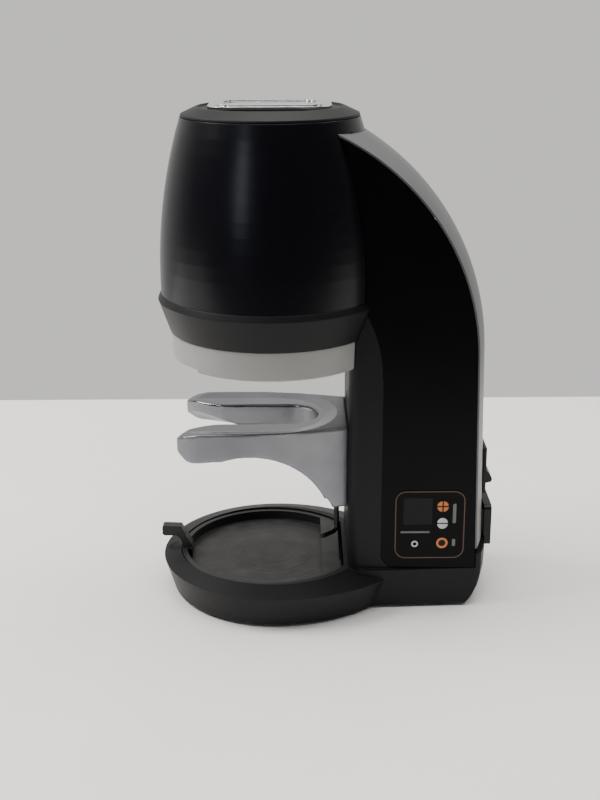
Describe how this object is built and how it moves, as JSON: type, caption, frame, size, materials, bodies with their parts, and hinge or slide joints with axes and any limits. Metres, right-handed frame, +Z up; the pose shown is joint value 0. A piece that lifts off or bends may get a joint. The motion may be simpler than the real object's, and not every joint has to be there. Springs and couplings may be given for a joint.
{
  "type": "automatic coffee tamper",
  "caption": "Upright motor-driven coffee tamper: barrel head with a spindle-driven tamper disc over a height-adjustable slotted fork, on a round base with a lift-out grounds tray.",
  "frame": {"origin": "on the table, under the tamping axis", "axes": "+Z up along the tamping axis, -X to the front where the filter holder comes in, +X to the back cover and power inlet, -Y to the side with the control panel"},
  "size_m": [0.2132, 0.146, 0.3086],
  "materials": {
    "casting_paint": "matte, fine texture",
    "panel_paint": "semi-gloss black",
    "barrel_paint": "satin black",
    "cover_paint": "satin dark grey",
    "tray_paint": "satin dark grey",
    "ring_grey": "matte light grey",
    "plate_bright": "bright, plain border",
    "fork_cast": "satin casting, polished seat",
    "plate_alu": "machined",
    "sheet_steel": "plain",
    "steel": "polished",
    "black_steel": "black oxide",
    "bronze": "plain",
    "rubber": "matte",
    "black_plastic": "moulded",
    "window": "smoked, opaque",
    "key_orange": "orange",
    "key_white": "white",
    "circuit_board": "green laminate",
    "pin_brass": "plated"
  },
  "bodies": {
    "machine": {"base_casting": "casting_paint", "base_plate": "sheet_steel", "rubber_feet": "rubber", "base_screws": "black_steel", "side_panel_near": "panel_paint", "side_panel_far": "panel_paint", "back_cover": "cover_paint", "cover_screws": "cover_paint", "barrel_shell": "barrel_paint", "collar_ring": "casting_paint", "skirt_ring": "ring_grey", "top_cap": "casting_paint", "cap_plate": "plate_bright", "shell_screw": "barrel_paint", "frame_spine": "sheet_steel", "head_plate": "plate_alu", "top_plate": "plate_alu", "frame_bolts": "black_steel", "guide_rods": "steel", "ram_bush": "bronze", "wiper_seal": "rubber", "bearing_housing": "plate_alu", "bearing_screws": "black_steel", "thrust_bearing": "steel", "motor_body": "black_steel", "motor_cap": "plate_alu", "motor_bolts": "black_steel", "anchor_block": "black_steel", "anchor_bolts": "black_steel", "control_overlay": "black_plastic", "display_window": "window", "keypad_board": "circuit_board", "control_board": "circuit_board", "power_supply": "sheet_steel", "home_sensor": "black_plastic", "holder_sensor": "black_plastic", "wiring_loom": "black_plastic", "switch_bezel": "black_plastic", "power_inlet": "black_plastic", "inlet_pins": "pin_brass"},
    "tamper": {"tamper_disc": "steel", "tamper_screw": "steel", "ram": "steel", "spindle_nut": "bronze", "crosshead": "plate_alu", "rod_bushes": "bronze"},
    "drive": {"spindle": "steel", "motor_rotor": "steel"},
    "fork": {"filter_fork": "fork_cast", "fork_bolts": "black_steel", "screw_retainer": "steel"},
    "adjuster": {"adjust_screw": "black_steel"},
    "stored_key": {"hex_key": "steel"},
    "tray": {"grounds_tray": "tray_paint"},
    "plus_button": {"key_plus": "key_orange"},
    "minus_button": {"key_minus": "key_white"},
    "set_button": {"key_set": "key_orange"},
    "rocker": {"switch_rocker": "black_plastic"}
  },
  "joints": [
    {"name": "spindle_turn", "type": "hinge", "parent": "machine", "child": "drive", "pos_m": [0, 0, 0.24], "axis": [0, 0, 1], "range_deg": [0, 2701]},
    {"name": "tamp_stroke", "type": "slide", "parent": "machine", "child": "tamper", "axis": [0, 0, -1], "range_m": [0, 0.03]},
    {"name": "fork_height", "type": "slide", "parent": "machine", "child": "fork", "axis": [0, 0, 1], "range_m": [-0.005, 0.012]},
    {"name": "adjust_turn", "type": "hinge", "parent": "fork", "child": "adjuster", "pos_m": [0.0405, 0, 0.07], "axis": [0, 0, 1], "range_deg": [-1800, 4320]},
    {"name": "key_swivel", "type": "hinge", "parent": "fork", "child": "stored_key", "pos_m": [0.0395, -0.012, 0.07], "axis": [0, 0, 1], "range_deg": [-45, 45]},
    {"name": "tray_tilt", "type": "hinge", "parent": "machine", "child": "tray", "pos_m": [0.041, 0, 0.0235], "axis": [0, 1, 0], "range_deg": [0, 15]},
    {"name": "plus_press", "type": "slide", "parent": "machine", "child": "plus_button", "axis": [0, 1, 0], "range_m": [0, 0.0003], "stiffness_N_per_m": 2000},
    {"name": "minus_press", "type": "slide", "parent": "machine", "child": "minus_button", "axis": [0, 1, 0], "range_m": [0, 0.0003], "stiffness_N_per_m": 2000},
    {"name": "set_press", "type": "slide", "parent": "machine", "child": "set_button", "axis": [0, 1, 0], "range_m": [0, 0.0003], "stiffness_N_per_m": 2000},
    {"name": "switch_rock", "type": "hinge", "parent": "machine", "child": "rocker", "pos_m": [0.124, 0, 0.081], "axis": [0, 1, 0], "range_deg": [0, 12]}
  ],
  "couplings": [
    {"joint": "spindle_turn", "follows": "tamp_stroke", "rad_per_m": 1570.8},
    {"joint": "adjust_turn", "follows": "fork_height", "rad_per_m": 6283.2}
  ]
}
